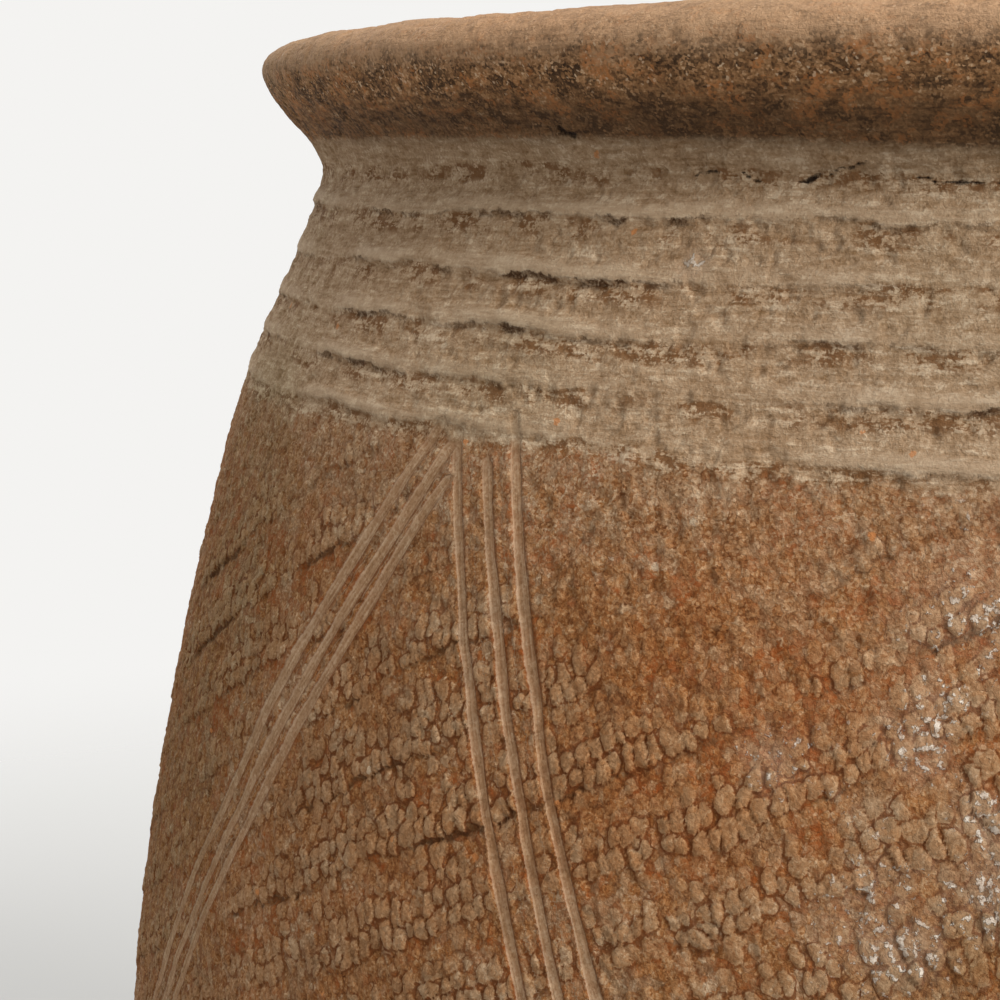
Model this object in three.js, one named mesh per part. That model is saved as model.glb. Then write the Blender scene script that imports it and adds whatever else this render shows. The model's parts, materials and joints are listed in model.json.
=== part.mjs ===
// Coil-built terracotta jar with a wide mouth. A moulded base bowl carries nine flattened wall coils,
// a neck coil with five drawn grooves and a fat rolled rim. Each coil laps the one below on the inside.
// Millimetres, +Z up, origin at the centre of the flat foot.
import * as THREE from 'three';

// Overall form, outside
const HEIGHT = 440;
const FOOT_RADIUS = 60;
const BELLY_RADIUS = 199;
const BELLY_HEIGHT = 192;
const NECK_RADIUS = 155;

// Clay thickness
const WALL = 10;
const FLOOR = 14;

// Rim roll: how far it overhangs the neck, its full height, and its widest line below the top
const RIM_OVERHANG = 11;
const RIM_HEIGHT = 18;
const RIM_WIDEST = 6;

// Coil joints: height of the bowl's edge, number of wall coils, how far each bevel runs down on the inside,
// and the slip left in the joint, measured upright
const BOWL_HEIGHT = 110;
const WALL_COILS = 9;
const LAP = 10;
const SLIP_FILM = 0.4;

// Drawn grooves of the neck coil: the first one's drop below the rim joint, their pitch, and the plain clay
// left between the last one and the lower edge of the coil
const GROOVES = 5;
const GROOVE_DROP = 12;
const GROOVE_PITCH = 7.7;
const GROOVE_MARGIN = 7.2;
const GROOVE_WIDTH = 3.6;
const GROOVE_DEPTH = 0.9;

// Facets: around the axis, along the bowl and each coil, across a groove, and round each quarter of the rim
const AROUND = 48;
const BOWL_STEPS = 7;
const COIL_STEPS = 2;
const GROOVE_STEPS = 4;
const RIM_STEPS = 4;

const FIRED_CLAY = { color: 0x8b6241, roughness: 0.92, metalness: 0 };
const SMOKED_CLAY = { color: 0x75583f, roughness: 0.9, metalness: 0 };

// Heights of the joints on the outside of the wall
const RIM_JOINT = HEIGHT - RIM_HEIGHT;
const NECK_JOINT = RIM_JOINT - GROOVE_DROP - (GROOVES - 1) * GROOVE_PITCH - GROOVE_MARGIN;
const COIL_HEIGHT = (NECK_JOINT - BOWL_HEIGHT) / WALL_COILS;

// Upper wall: one circular arc, upright at the belly, that meets the neck radius at the rim joint
const ARC_RISE = RIM_JOINT - BELLY_HEIGHT;
const ARC_INSET = BELLY_RADIUS - NECK_RADIUS;
const ARC_RADIUS = (ARC_RISE ** 2 + ARC_INSET ** 2) / (2 * ARC_INSET);

// Lower wall: a quarter ellipse from the belly, cut off flat at the foot
const LOWER_DEPTH = BELLY_HEIGHT / Math.sqrt(1 - (FOOT_RADIUS / BELLY_RADIUS) ** 2);

function outerRadius(z) {
  if (z >= BELLY_HEIGHT) {
    return BELLY_RADIUS - ARC_RADIUS + Math.sqrt(ARC_RADIUS ** 2 - (z - BELLY_HEIGHT) ** 2);
  }
  return BELLY_RADIUS * Math.sqrt(1 - ((BELLY_HEIGHT - z) / LOWER_DEPTH) ** 2);
}

// The inside follows the outside above the belly. Below it a bowl of its own runs down to the floor.
function innerRadius(z) {
  if (z >= BELLY_HEIGHT) {
    return outerRadius(z) - WALL;
  }
  const drop = (BELLY_HEIGHT - z) / (BELLY_HEIGHT - FLOOR);
  return (BELLY_RADIUS - WALL) * Math.sqrt(Math.max(0, 1 - drop ** 2));
}

// Points of a wall outline between two heights, both ends included
function wallPoints(radiusAt, from, to, steps) {
  const points = [];
  for (let i = 0; i <= steps; i += 1) {
    const z = from + ((to - from) * i) / steps;
    points.push(new THREE.Vector2(radiusAt(z), z));
  }
  return points;
}

// Points of the bowl's outline from its middle up to its edge, closest together near the middle
function bowlPoints(radiusAt, middle, edge) {
  const points = [];
  for (let i = 0; i <= BOWL_STEPS; i += 1) {
    const z = middle + (edge - middle) * (i / BOWL_STEPS) ** 2;
    points.push(new THREE.Vector2(radiusAt(z), z));
  }
  return points;
}

// Outside of the neck coil, with its grooves as shallow round dips
function groovedPoints(from, to) {
  const points = [new THREE.Vector2(outerRadius(from), from)];
  for (let groove = GROOVES - 1; groove >= 0; groove -= 1) {
    const middle = RIM_JOINT - GROOVE_DROP - groove * GROOVE_PITCH;
    for (let i = 0; i <= GROOVE_STEPS; i += 1) {
      const across = i / GROOVE_STEPS - 0.5;
      const z = middle + across * GROOVE_WIDTH;
      const dip = GROOVE_DEPTH * Math.cos(across * Math.PI);
      points.push(new THREE.Vector2(outerRadius(z) - dip, z));
    }
  }
  points.push(new THREE.Vector2(outerRadius(to), to));
  return points;
}

// Part of an ellipse, turned anticlockwise from one angle to another in degrees
function ellipsePoints(centreR, centreZ, halfWidth, halfHeight, from, to, steps) {
  const start = THREE.MathUtils.degToRad(from);
  const end = THREE.MathUtils.degToRad(to);
  return new THREE.EllipseCurve(centreR, centreZ, halfWidth, halfHeight, start, end).getPoints(steps);
}

// A turned solid about Z from an outline in radius and height, listed with the clay on the left
function turned(name, outline, look) {
  const geometry = new THREE.LatheGeometry(outline, AROUND);
  geometry.rotateX(Math.PI / 2);
  const mesh = new THREE.Mesh(geometry, new THREE.MeshStandardMaterial(look));
  mesh.name = name;
  return mesh;
}

function closed(points) {
  return [...points, points[0].clone()];
}

function baseBowl() {
  const outside = bowlPoints(outerRadius, 0, BOWL_HEIGHT);
  const inside = bowlPoints(innerRadius, FLOOR, BOWL_HEIGHT - LAP).reverse();
  return turned('base_bowl', [new THREE.Vector2(0, 0), ...outside, ...inside], FIRED_CLAY);
}

function wallCoil(index) {
  const low = BOWL_HEIGHT + index * COIL_HEIGHT + SLIP_FILM;
  const high = BOWL_HEIGHT + (index + 1) * COIL_HEIGHT;
  const outside = wallPoints(outerRadius, low, high, COIL_STEPS);
  const inside = wallPoints(innerRadius, high - LAP, low - LAP, COIL_STEPS);
  return turned(`wall_coil_${index + 1}`, closed([...outside, ...inside]), FIRED_CLAY);
}

function neckCoil() {
  const low = NECK_JOINT + SLIP_FILM;
  const outside = groovedPoints(low, RIM_JOINT);
  const inside = wallPoints(innerRadius, RIM_JOINT - LAP, low - LAP, COIL_STEPS);
  return turned('neck_coil', closed([...outside, ...inside]), FIRED_CLAY);
}

// The roll swells from the neck joint to its widest line, then rounds over the top into the mouth
function rimCoil() {
  const low = RIM_JOINT + SLIP_FILM;
  const foot = low - LAP;
  const widest = HEIGHT - RIM_WIDEST;
  const mouth = innerRadius(foot);
  const rollHalf = (NECK_RADIUS + RIM_OVERHANG - mouth) / 2;
  const crest = mouth + rollHalf;
  const under = ellipsePoints(NECK_RADIUS, widest, RIM_OVERHANG, widest - low, -90, 0, RIM_STEPS);
  const over = ellipsePoints(crest, widest, rollHalf, RIM_WIDEST, 0, 180, 2 * RIM_STEPS);
  const outline = closed([...under, ...over.slice(1), new THREE.Vector2(mouth, foot)]);
  return turned('rim_coil', outline, SMOKED_CLAY);
}

const jar = new THREE.Group();
jar.name = 'coil_built_jar';
jar.add(baseBowl());
for (let index = 0; index < WALL_COILS; index += 1) {
  jar.add(wallCoil(index));
}
jar.add(neckCoil(), rimCoil());

export default jar;
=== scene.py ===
"""Looks of a coil-built terracotta jar: pressed wall, drawn neck grooves, scored zigzag and smoked rim.

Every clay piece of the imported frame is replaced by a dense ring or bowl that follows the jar's half section.
Pressed pads, grooves, scored lines, cracks and the unevenness of handwork are real relief, and the finish
adds grain and colour. Lengths are millimetres and azimuths degrees until a mesh is written in metres.
"""

import json
import logging
import math
from collections.abc import Mapping
from dataclasses import dataclass, field
from enum import Enum
from functools import cached_property
from typing import Any

import bpy
import numpy as np
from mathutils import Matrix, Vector


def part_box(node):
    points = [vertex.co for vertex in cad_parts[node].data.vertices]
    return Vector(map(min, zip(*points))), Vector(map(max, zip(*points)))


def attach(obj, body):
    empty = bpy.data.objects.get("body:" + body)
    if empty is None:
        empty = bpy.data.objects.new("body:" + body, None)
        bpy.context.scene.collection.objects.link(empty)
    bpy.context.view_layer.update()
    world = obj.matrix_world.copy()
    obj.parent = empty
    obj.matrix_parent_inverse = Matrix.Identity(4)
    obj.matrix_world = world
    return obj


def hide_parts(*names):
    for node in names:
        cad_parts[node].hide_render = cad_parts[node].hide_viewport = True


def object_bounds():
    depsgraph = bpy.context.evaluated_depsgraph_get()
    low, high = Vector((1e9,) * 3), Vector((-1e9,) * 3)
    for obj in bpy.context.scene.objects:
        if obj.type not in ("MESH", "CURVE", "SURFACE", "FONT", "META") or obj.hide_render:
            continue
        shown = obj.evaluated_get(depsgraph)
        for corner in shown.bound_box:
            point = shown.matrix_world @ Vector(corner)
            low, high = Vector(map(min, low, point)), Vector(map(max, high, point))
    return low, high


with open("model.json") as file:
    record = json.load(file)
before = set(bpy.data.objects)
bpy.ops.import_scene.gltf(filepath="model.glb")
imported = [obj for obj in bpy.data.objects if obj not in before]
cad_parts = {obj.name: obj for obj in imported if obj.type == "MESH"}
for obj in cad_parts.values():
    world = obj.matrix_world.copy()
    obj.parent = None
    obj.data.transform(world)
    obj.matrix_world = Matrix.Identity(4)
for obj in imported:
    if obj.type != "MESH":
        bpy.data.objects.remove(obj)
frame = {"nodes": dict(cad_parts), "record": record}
CAD_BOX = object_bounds()
LOG = logging.getLogger("terracotta_jar")

MM = 0.001
BODY = "root"
# Azimuth of the line at the back where the wrapped coordinates begin and end
SEAM = 75.0
# Azimuths of the side that the camera sees from close by, which gets the finest mesh
VIEWED = (-176.0, -103.0)
# Arc lengths on the wall are measured at this radius
WRAP_RADIUS = 190.0
Colour = tuple[int, int, int]
Stops = tuple[tuple[float, Colour], ...]
Face = dict[str, np.ndarray]


def ease(values: np.ndarray, start: float, end: float) -> np.ndarray:
    """Smooth step of values from 0 at start to 1 at end, which may lie below start."""
    share = np.clip((values - start) / (end - start), 0.0, 1.0)
    return share * share * (3.0 - 2.0 * share)


def hump(values: np.ndarray, middle: float | np.ndarray, width: float | np.ndarray) -> np.ndarray:
    """Bell of height 1 round middle, down to 0.37 at one width from it."""
    return np.exp(-(((values - middle) / width) ** 2))


def linear(colour: Colour) -> tuple[float, float, float, float]:
    """An sRGB colour of 0 to 255 as a linear RGBA tuple."""
    parts = [c / 255.0 for c in colour]
    return (*[p / 12.92 if p <= 0.04045 else ((p + 0.055) / 1.055) ** 2.4 for p in parts], 1.0)


@dataclass(frozen=True)
class Noise:
    """Smooth seeded noise in space, about -1 to 1, alike on every run.

    Attributes:
        cell: size of the largest lumps.
        seed: picks another field of the same kind.
        octaves: layers, each half as large and half as strong as the last.
        flatten: how much the field is stretched round the jar against its height.
    """

    cell: float
    seed: int
    octaves: int = 1
    flatten: float = 1.0

    def at(self, points: np.ndarray) -> np.ndarray:
        """Noise at points.

        Args:
            points: array of n rows of x, y and z.

        Returns:
            Array of n values.
        """
        scaled = points / np.array([self.flatten, self.flatten, 1.0]) / self.cell
        total = np.zeros(len(points))
        for octave in range(self.octaves):
            total += self._lattice(scaled * 2.0**octave, self.seed * 31 + octave) / 2.0**octave
        return total

    @staticmethod
    def _lattice(points: np.ndarray, seed: int) -> np.ndarray:
        """One layer: hashed values on a unit lattice, joined smoothly.

        Args:
            points: array of n rows in lattice units.
            seed: layer number.

        Returns:
            Array of n values from -1 to 1.
        """
        primes = np.array([374761393, 668265263, 2246822519], np.uint32)
        base = np.floor(points)
        part = points - base
        fade = part**3 * (part * (part * 6.0 - 15.0) + 10.0)
        keys = (base.astype(np.int64) & 0xFFFFFFFF).astype(np.uint32) * primes
        start = np.uint32((seed * 3266489917) & 0xFFFFFFFF)
        total = np.zeros(len(points))
        for corner in range(8):
            key = keys[:, 0] + start
            weight = np.ones(len(points))
            for axis in range(3):
                if axis:
                    key = key + keys[:, axis]
                if corner >> axis & 1:
                    key = key + primes[axis]
                    weight = weight * fade[:, axis]
                else:
                    weight = weight * (1.0 - fade[:, axis])
            for shift, factor in ((15, 0x2C1B3C6D), (12, 0x297A2D39)):
                key = (key ^ (key >> np.uint32(shift))) * np.uint32(factor)
            key = key ^ (key >> np.uint32(15))
            total += weight * key
        return total / 2.0**31 - 1.0


@dataclass(frozen=True)
class Station:
    """Points of the half section.

    Attributes:
        radius: distance from the axis.
        height: height above the foot.
        out_radius: radial part of the direction out of the clay.
        out_height: upright part of that direction.
    """

    radius: np.ndarray
    height: np.ndarray
    out_radius: np.ndarray
    out_height: np.ndarray


@dataclass(frozen=True)
class JarForm:
    """Half section of the whole jar: from the foot up the outside, over the lip and down the inside.

    Attributes:
        height: top of the rim, from the frame.
        belly_radius: widest outside radius, from the frame.
        rim_joint: outside height of the joint under the rim, from the frame.
    """

    height: float
    belly_radius: float
    rim_joint: float
    foot_radius: float = 60.0
    foot_round: float = 7.0
    belly_height: float = 192.0
    neck_radius: float = 155.0
    wall: float = 10.0
    floor: float = 14.0
    lap: float = 10.0
    hollow_height: float = 407.0
    hollow_depth: float = 2.9
    hollow_spread: float = 24.0
    slimming: float = 0.9
    spline_start: float = 406.0
    step: float = 0.2
    softness: float = 0.8
    # The rolled rim from the neck to the mouth, as distance out from the neck radius and drop from the top
    roll: tuple[tuple[float, float], ...] = (
        (-0.5, 25.5), (0.4, 21.5), (3.0, 17.4), (7.0, 13.0), (10.0, 8.7), (11.0, 5.4), (9.7, 2.6),
        (6.3, 0.6), (2.0, 0.0), (-2.4, 1.0), (-5.2, 3.8), (-6.3, 8.0), (-6.4, 13.0),
    )

    @classmethod
    def from_frame(cls) -> "JarForm":
        """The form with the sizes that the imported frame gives."""
        return cls(
            height=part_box("rim_coil")[1].z / MM,
            belly_radius=CAD_BOX[1].x / MM,
            rim_joint=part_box("neck_coil")[1].z / MM,
        )

    def wall_radius(self, z: np.ndarray) -> np.ndarray:
        """Plain outside radius: an arc above the belly and a quarter ellipse below it.

        Args:
            z: heights.

        Returns:
            Radii.
        """
        rise, inset = self.rim_joint - self.belly_height, self.belly_radius - self.neck_radius
        arc = (rise**2 + inset**2) / (2.0 * inset)
        depth = self.belly_height / math.sqrt(1.0 - (self.foot_radius / self.belly_radius) ** 2)
        above = self.belly_radius - arc + np.sqrt(arc**2 - np.maximum(z - self.belly_height, 0.0) ** 2)
        drop = np.clip((self.belly_height - z) / depth, 0.0, 1.0)
        return np.where(z >= self.belly_height, above, self.belly_radius * np.sqrt(1.0 - drop**2))

    def outside_radius(self, z: np.ndarray) -> np.ndarray:
        """Outside radius with the neck drawn in by the fingers."""
        hollow = self.hollow_depth * hump(z, self.hollow_height, self.hollow_spread)
        return self.wall_radius(z) - hollow - self.slimming * ease(z, self.belly_height, 250.0)

    def inside_radius(self, z: np.ndarray) -> np.ndarray:
        """Inside radius: it follows the wall above the belly and has its own bowl below."""
        drop = np.clip((self.belly_height - z) / (self.belly_height - self.floor), 0.0, 1.0)
        bowl = (self.belly_radius - self.wall) * np.sqrt(1.0 - drop**2)
        return np.where(z >= self.belly_height, self.wall_radius(z) - self.wall, bowl)

    @cached_property
    def outline(self) -> tuple[np.ndarray, np.ndarray, np.ndarray]:
        """Evenly spaced outline.

        Returns:
            Arc lengths, radii and heights.
        """
        turn = np.linspace(0.0, 1.0, 30)[:, None]
        edge = np.array([self.foot_radius, 0.0])
        rise = np.array([self.outside_radius(np.array(self.foot_round)), self.foot_round])
        sole = np.array([self.foot_radius - self.foot_round, 0.0])
        foot = (1 - turn) ** 2 * sole + 2 * turn * (1 - turn) * edge + turn**2 * rise
        up = np.linspace(self.foot_round, self.spline_start, 1500)[1:]
        outside = np.column_stack([self.outside_radius(up), up])
        lip = np.array([(self.neck_radius + out, self.height - drop) for out, drop in self.roll])
        mouth = self.rim_joint - self.lap
        knots = np.vstack([outside[[-8, -1]], lip, [[self.inside_radius(np.array(mouth)), mouth]]])
        down = self.floor + (mouth - self.floor) * np.linspace(1.0, 0.0, 1500) ** 2
        inside = np.column_stack([self.inside_radius(down), down])
        line = np.vstack([[[0.0, 0.0]], foot, outside[:-8], self._curve(knots), inside[1:]])
        return self._even(line)

    @staticmethod
    def _curve(knots: np.ndarray, steps: int = 24) -> np.ndarray:
        """Smooth curve through points.

        Args:
            knots: points to pass through.
            steps: samples between two points.

        Returns:
            Points along the curve.
        """
        padded = np.vstack([2 * knots[0] - knots[1], knots, 2 * knots[-1] - knots[-2]])
        t = np.linspace(0.0, 1.0, steps, endpoint=False)[:, None]
        parts = []
        for a, b, c, d in zip(padded, padded[1:], padded[2:], padded[3:]):
            parts.append(b + 0.5 * t * (c - a + t * (2 * a - 5 * b + 4 * c - d + t * (3 * (b - c) + d - a))))
        return np.vstack([*parts, knots[-1:]])

    def _even(self, line: np.ndarray) -> tuple[np.ndarray, np.ndarray, np.ndarray]:
        """Resamples a line at even steps and softens its corners.

        Args:
            line: points in order.

        Returns:
            Arc lengths, radii and heights.
        """
        length = np.concatenate([[0.0], np.cumsum(np.hypot(*np.diff(line, axis=0).T))])
        even = np.arange(0.0, length[-1], self.step)
        reach = int(4 * self.softness / self.step)
        kernel = hump(np.arange(-reach, reach + 1) * self.step, 0.0, self.softness)
        kernel /= kernel.sum()
        soft = []
        for axis, sign in ((0, -1.0), (1, 1.0)):
            values = np.interp(even, length, line[:, axis])
            ends = sign * values[1 : reach + 1][::-1], sign * values[-reach - 1 : -1][::-1]
            soft.append(np.convolve(np.concatenate([ends[0], values, ends[1]]), kernel, "valid"))
        return even, soft[0], soft[1]

    @cached_property
    def lip(self) -> float:
        """Arc length at the top of the rim."""
        along, _, z = self.outline
        return float(along[np.argmax(z)])

    def outside(self, z: float) -> float:
        """Arc length of a height on the outside."""
        along, _, heights = self.outline
        upto = along <= self.lip
        return float(np.interp(z, heights[upto], along[upto]))

    def inside(self, z: float) -> float:
        """Arc length of a height on the inside."""
        along, _, heights = self.outline
        past = along >= self.lip
        return float(np.interp(-z, -heights[past], along[past]))

    def at(self, along: np.ndarray) -> Station:
        """Points of the half section.

        Args:
            along: arc lengths.

        Returns:
            Their places and the directions out of the clay.
        """
        lengths, radii, heights = self.outline
        slope_r, slope_z = np.gradient(radii), np.gradient(heights)
        size = np.hypot(slope_r, slope_z)
        values = [np.interp(along, lengths, v) for v in (radii, heights, slope_z / size, -slope_r / size)]
        return Station(*values)


@dataclass(frozen=True)
class Chart:
    """Grid of surface points before they are shaped, flattened row by row.

    Attributes:
        azimuth: degrees round the axis, from the seam.
        along: arc length on the half section.
        place: the half section at those lengths.
        lip: arc length at the top of the rim.
        turn_in: how far past the lip the inside begins and is complete.
    """

    azimuth: np.ndarray
    along: np.ndarray
    place: Station
    lip: float
    turn_in: tuple[float, float] = (8.0, 22.0)

    @cached_property
    def points(self) -> np.ndarray:
        """Places in space, one row each."""
        turn = np.radians(self.azimuth)
        radius = self.place.radius
        return np.column_stack([radius * np.cos(turn), radius * np.sin(turn), self.place.height])

    @cached_property
    def inner(self) -> np.ndarray:
        """0 on the outside and 1 on the inside of the jar."""
        return ease(self.along, self.lip + self.turn_in[0], self.lip + self.turn_in[1])

    def noise(self, cell: float, seed: int, octaves: int = 1, flatten: float = 1.0) -> np.ndarray:
        """Seeded noise at the chart's points."""
        return Noise(cell, seed, octaves, flatten).at(self.points)

    def across(self, azimuth: float | np.ndarray) -> np.ndarray:
        """Distance round the wall from an azimuth, the shorter way."""
        turn = (self.azimuth - azimuth + 180.0) % 360.0 - 180.0
        return np.radians(turn) * self.place.radius


class PadTable:
    """Where each pad of the roulette landed and how well it printed, drawn over the whole jar."""

    low: tuple[int, int] = (-420, -120)
    size: tuple[int, int] = (720, 480)

    def __init__(self, seed: int, jitter: float) -> None:
        """Draws the table.

        Args:
            seed: picks another table of the same kind.
            jitter: how far pads stray from their rows, in pads.
        """
        draw = np.random.default_rng(seed)
        self.shift = draw.uniform(-jitter, jitter, (2, *self.size)) + 0.5
        self.print = draw.beta(2.0, 1.6, self.size)
        self.scale = draw.uniform(0.78, 1.2, self.size)


@dataclass(frozen=True)
class Roulette:
    """Rows of small pads, rolled into the soft wall in bands that climb to the right.

    Attributes:
        pad_width: size of a pad along its band.
        bands: number of bands met on a level line round the jar.
        rows: rows of pads in a band.
        climb: slope of the bands.
        prints: how well each row of a band printed, from its lower edge up.
    """

    pad_width: float = 2.6
    bands: int = 41
    rows: int = 4
    climb: float = 26.5
    prints: tuple[float, ...] = (1.0, 0.74, 0.44, 0.3)
    depth: float = 0.46
    step: float = 0.36
    trench: float = 0.24
    table: PadTable = field(default_factory=lambda: PadTable(seed=4, jitter=0.26))

    @property
    def row_height(self) -> float:
        """Height of a row, so that a whole number of bands goes round."""
        return 2.0 * math.pi * WRAP_RADIUS * math.sin(math.radians(self.climb)) / (self.bands * self.rows)

    def coordinates(self, chart: Chart) -> tuple[np.ndarray, np.ndarray]:
        """Pad coordinates.

        Args:
            chart: surface points.

        Returns:
            Pads along the band and rows across it.
        """
        slow = [chart.noise(18.0, seed, 2) for seed in (11, 12)]
        quick = [chart.noise(1.9, seed, 2) for seed in (13, 14)]
        round_by = np.radians(chart.azimuth) * WRAP_RADIUS
        lean = math.radians(self.climb)
        z = chart.place.height
        u = (round_by * math.cos(lean) + z * math.sin(lean)) / self.pad_width
        v = (z * math.cos(lean) - round_by * math.sin(lean)) / self.row_height
        return u + 0.4 * slow[0] + 0.2 * quick[0], v + 0.36 * slow[1] + 0.17 * quick[1]

    def pads(self, u: np.ndarray, v: np.ndarray) -> tuple[np.ndarray, np.ndarray]:
        """Where the pads are.

        Args:
            u: pads along.
            v: rows across.

        Returns:
            How far inside a pad each point lies, below 0 on the ground, and how well that pad printed.
        """
        col, row = np.floor(u).astype(int), np.floor(v).astype(int)
        first, second = np.full(u.shape, 9.0), np.full(u.shape, 9.0)
        printed = np.zeros(u.shape)
        weights = np.array(self.prints)
        for i in (-1, 0, 1):
            for j in (-1, 0, 1):
                cell = (col + i - self.table.low[0], row + j - self.table.low[1])
                along = u - col - i - self.table.shift[0][cell]
                up = v - row - j - self.table.shift[1][cell]
                out = (np.abs(along / 0.5) ** 2.5 + np.abs(up / 0.52) ** 2.5) ** 0.4 / self.table.scale[cell]
                weight = weights[(row + j) % self.rows]
                shown = np.clip(0.8 * self.table.print[cell] + weight - 0.42, 0.0, 1.0)
                nearer = out < first
                second = np.where(nearer, first, np.minimum(second, out))
                first = np.where(nearer, out, first)
                printed = np.where(nearer, shown, printed)
        return np.minimum(0.5 * (second - first), 1.08 - first), printed

    def relief(
        self, chart: Chart, v: np.ndarray, within: np.ndarray, printed: np.ndarray, wear: np.ndarray
    ) -> tuple[np.ndarray, np.ndarray]:
        """Height of the pressed surface.

        Args:
            chart: surface points.
            v: rows across.
            within: how far inside a pad a point lies.
            printed: how well that pad printed.
            wear: 0 where fresh and 1 where rubbed flat.

        Returns:
            Heights about the plain wall, and the trench under each band from 0 to 1.
        """
        in_band = (v / self.rows) % 1.0
        uneven = np.clip(0.62 + 0.7 * chart.noise(20.0, 15, 2), 0.0, 1.3)
        pads = printed * ease(within, 0.0, 0.22)
        edge = np.maximum(hump(in_band, 1.0, 0.07), hump(in_band, 0.0, 0.045))
        trench = (1.0 - ease(pads, 0.1, 0.5)) * edge * uneven * (1.0 - wear)
        lift = self.depth * (pads - 0.45) + self.step * uneven * (0.5 - in_band)
        return (1.0 - 0.85 * wear) * lift - self.trench * trench, trench


@dataclass(frozen=True)
class NeckRidges:
    """Level ridges drawn round the neck with a blunt tool, smooth on top and broken off below.

    Attributes:
        top: height of the first ridge.
        drops: how far each ridge lies below the first.
        pitch: usual drop from one ridge to the next.
    """

    top: float = 410.0
    drops: tuple[float, ...] = (0.0, 8.9, 17.5, 25.2, 32.8)
    pitch: float = 7.8
    height: float = 0.46
    wobble: float = 0.6
    # Share of the pitch that belongs to a ridge above its crest
    above: float = 0.4

    @property
    def count(self) -> int:
        """Number of ridges."""
        return len(self.drops)

    def phase(self, chart: Chart) -> np.ndarray:
        """Number of the ridge at each point, a whole number on its crest.

        Args:
            chart: surface points.

        Returns:
            Numbers that grow downwards.
        """
        level = chart.points * np.array([1.0, 1.0, 0.0])
        z = chart.place.height
        crests = []
        for index in range(self.count):
            wave = self.wobble * Noise(26.0, 40 + index, 2).at(level)
            crests.append(self.top - self.drops[index] + wave)
        phase = (crests[0] - z) / self.pitch
        for index in range(1, self.count):
            span = crests[index - 1] - crests[index]
            phase = np.where(z < crests[index - 1], index - 1 + (crests[index - 1] - z) / span, phase)
        phase = np.where(z < crests[-1], self.count - 1 + (crests[-1] - z) / self.pitch, phase)
        ragged = 0.4 * chart.noise(4.0, 51, 2, flatten=2.0) + 0.35 * chart.noise(1.3, 52)
        return phase + ragged / self.pitch

    def relief(self, chart: Chart, phase: np.ndarray) -> tuple[np.ndarray, np.ndarray, np.ndarray]:
        """Shape of the ridges.

        Args:
            chart: surface points.
            phase: ridge numbers.

        Returns:
            Heights about the plain wall, then how hard the tool was pressed and the smooth crests, both from
            0 to about 1.
        """
        press = np.clip(0.75 + 0.7 * chart.noise(20.0, 50, 3), 0.1, 1.3)
        press = press * ease(phase, -0.8, -0.5) * ease(phase, self.count - 0.2, self.count - 0.4)
        off = ((phase + self.above) % 1.0 - self.above) * self.pitch
        crest = ease(off, -2.6, -0.5) * ease(off, 1.15, 0.6)
        under = ease(off, 0.6, 1.2) * ease(off, 3.2, 1.5)
        return press * (self.height * crest - 0.16 * under), press, crest * np.minimum(press, 1.0)


@dataclass(frozen=True)
class Zigzag:
    """Triple lines scored in a zigzag from the last neck ridge to the belly.

    Attributes:
        count: zigzags round the jar.
        apex: azimuth of one upper corner.
        right_turn: how far a right leg turns on its way down, evenly and with growing speed.
        left_turn: the same for a left leg.
        right_starts: how far down each line of a right leg begins, as a share of its height.
    """

    count: int = 6
    apex: float = -137.05
    top: float = 375.0
    bottom: float = 212.0
    right_turn: tuple[float, float] = (18.0, 5.6)
    left_turn: tuple[float, float] = (-33.4, 4.1)
    right_lines: tuple[float, ...] = (0.0, 2.15, 4.1)
    left_lines: tuple[float, ...] = (1.2, -0.3, -2.2)
    right_starts: tuple[float, ...] = (-0.005, 0.02, -0.026)
    left_starts: tuple[float, ...] = (0.04, 0.0, -0.01)
    depth: float = 0.42
    far: float = 9.0

    def distance(self, chart: Chart) -> np.ndarray:
        """Distance to the nearest scored line, below 0 on its left.

        Args:
            chart: surface points.

        Returns:
            Distances, up to far on either side.
        """
        drop = (self.top - chart.place.height) / (self.top - self.bottom)
        nearest = np.full(drop.shape, self.far)
        wide = 1.0 + 0.28 * chart.noise(14.0, 69, 2)
        for turn, lines, starts in (
            (self.right_turn, self.right_lines, self.right_starts),
            (self.left_turn, self.left_lines, self.left_starts),
        ):
            path = turn[0] * drop + turn[1] * drop**2
            slope = np.radians(turn[0] + 2 * turn[1] * drop) * chart.place.radius / (self.top - self.bottom)
            for index, (line, start) in enumerate(zip(lines, starts)):
                wave = 0.45 * Noise(22.0, 60 + index + 3 * (turn[0] < 0), 4).at(chart.points)
                period = 360.0 / self.count
                off = (chart.azimuth - self.apex - line - path + period / 2.0) % period - period / 2.0
                across = np.radians(off) * chart.place.radius / np.hypot(1.0, slope) + wave
                past = np.maximum(np.maximum(start - drop, drop - 1.0), 0.0) * (self.top - self.bottom)
                away = np.copysign(np.hypot(across, past) * wide, across)
                nearest = np.where(np.abs(away) < np.abs(nearest), away, nearest)
        return nearest

    def relief(self, chart: Chart, away: np.ndarray) -> np.ndarray:
        """Depth of the lines and the burrs beside them.

        Args:
            chart: surface points.
            away: distances to the nearest line.

        Returns:
            Heights about the plain wall.
        """
        press = 0.85 + 0.35 * chart.noise(18.0, 70, 2)
        ragged = np.clip(0.5 + 0.8 * chart.noise(3.0, 71, 2), 0.0, 1.2)
        burr = (0.15 * hump(away, -1.6, 0.45) + 0.15 * hump(away, 1.6, 0.45)) * ragged
        return burr - press * self.depth * ease(away, -1.3, -0.75) * ease(away, 1.35, 0.7)


@dataclass(frozen=True)
class Crack:
    """Open crack of a coil joint.

    Attributes:
        azimuth: middle of the crack.
        height: height of its middle.
        length: length along the wall.
        lean: slope, up to the right.
        gape: widest opening.
    """

    azimuth: float
    height: float
    length: float
    lean: float
    gape: float


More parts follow.
